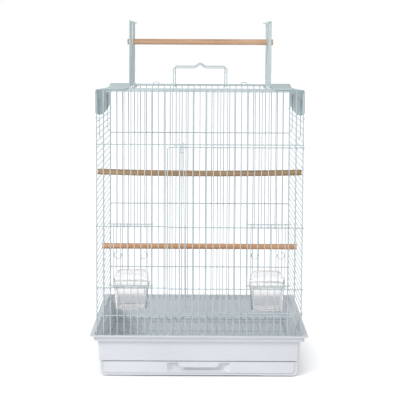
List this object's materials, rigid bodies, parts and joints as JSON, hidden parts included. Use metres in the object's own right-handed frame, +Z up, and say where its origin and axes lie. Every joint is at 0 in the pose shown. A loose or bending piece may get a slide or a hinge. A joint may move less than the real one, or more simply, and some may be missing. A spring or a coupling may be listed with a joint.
{
  "type": "play top bird cage",
  "caption": "Square wire bird cage on a moulded base with a slide-out tray. Its roof hatches stand open with a perch across them, and the front has a wide door and sliding feeder doors.",
  "frame": {"origin": "centre of the base, on the floor", "axes": "+Z up, the front with the door and tray faces -Y, +X to the right as seen from the front"},
  "size_m": [0.462, 0.462, 0.7538],
  "materials": {
    "coat": "pale grey-green powder coat on steel wire",
    "sheet": "pale grey-green powder coat on sheet steel",
    "plastic": "pale grey moulded plastic",
    "clear": "clear, faintly pink moulded plastic",
    "wood": "plain turned dowel"
  },
  "bodies": {
    "cage": {"base_housing": "plastic", "floor_grille": "coat", "front_panel": "coat", "back_panel": "coat", "left_side_panel": "coat", "right_side_panel": "coat", "front_left_clip": "coat", "front_right_clip": "coat", "back_left_clip": "coat", "back_right_clip": "coat", "roof_frame": "coat", "left_wing": "sheet", "right_wing": "sheet", "upper_perch": "wood", "lower_perch": "wood"},
    "tray": {"slide_out_tray": "plastic"},
    "left_hatch": {"left_hatch": "coat"},
    "right_hatch": {"right_hatch": "coat"},
    "front_bail": {"front_bail": "coat"},
    "back_bail": {"back_bail": "coat"},
    "play_perch": {"play_perch": "wood"},
    "main_door": {"main_door": "coat"},
    "door_latch": {"door_latch": "coat"},
    "left_feeder_door": {"left_feeder_door": "coat"},
    "right_feeder_door": {"right_feeder_door": "coat"},
    "left_cup": {"left_cup": "clear", "left_cup_hood": "clear"},
    "right_cup": {"right_cup": "clear", "right_cup_hood": "clear"}
  },
  "joints": [
    {"name": "tray_slide", "type": "slide", "parent": "cage", "child": "tray", "axis": [0, -1, 0], "range_m": [0, 0.38]},
    {"name": "left_hatch_hinge", "type": "hinge", "parent": "cage", "child": "left_hatch", "pos_m": [-0.15, 0, 0.6049], "axis": [0, 1, 0], "range_deg": [0, 90]},
    {"name": "right_hatch_hinge", "type": "hinge", "parent": "cage", "child": "right_hatch", "pos_m": [0.15, 0, 0.6049], "axis": [0, -1, 0], "range_deg": [0, 90]},
    {"name": "front_bail_hinge", "type": "hinge", "parent": "cage", "child": "front_bail", "pos_m": [0, -0.1152, 0.6068], "axis": [1, 0, 0], "range_deg": [0, 90]},
    {"name": "back_bail_hinge", "type": "hinge", "parent": "cage", "child": "back_bail", "pos_m": [0, 0.1152, 0.6068], "axis": [-1, 0, 0], "range_deg": [0, 90]},
    {"name": "play_perch_lift", "type": "slide", "parent": "cage", "child": "play_perch", "axis": [0, 0, 1], "range_m": [0, 0.06]},
    {"name": "main_door_hinge", "type": "hinge", "parent": "cage", "child": "main_door", "pos_m": [0.216, -0.216, 0.307], "axis": [0, 0, 1], "range_deg": [0, 110]},
    {"name": "door_latch_slide", "type": "slide", "parent": "main_door", "child": "door_latch", "axis": [0, 0, 1], "range_m": [0, 0.01]},
    {"name": "left_feeder_slide", "type": "slide", "parent": "cage", "child": "left_feeder_door", "axis": [0, 0, 1], "range_m": [0, 0.11]},
    {"name": "right_feeder_slide", "type": "slide", "parent": "main_door", "child": "right_feeder_door", "axis": [0, 0, 1], "range_m": [0, 0.11]},
    {"name": "left_cup_lift", "type": "slide", "parent": "cage", "child": "left_cup", "axis": [0, 0, 1], "range_m": [0, 0.05]},
    {"name": "right_cup_lift", "type": "slide", "parent": "main_door", "child": "right_cup", "axis": [0, 0, 1], "range_m": [0, 0.05]}
  ]
}
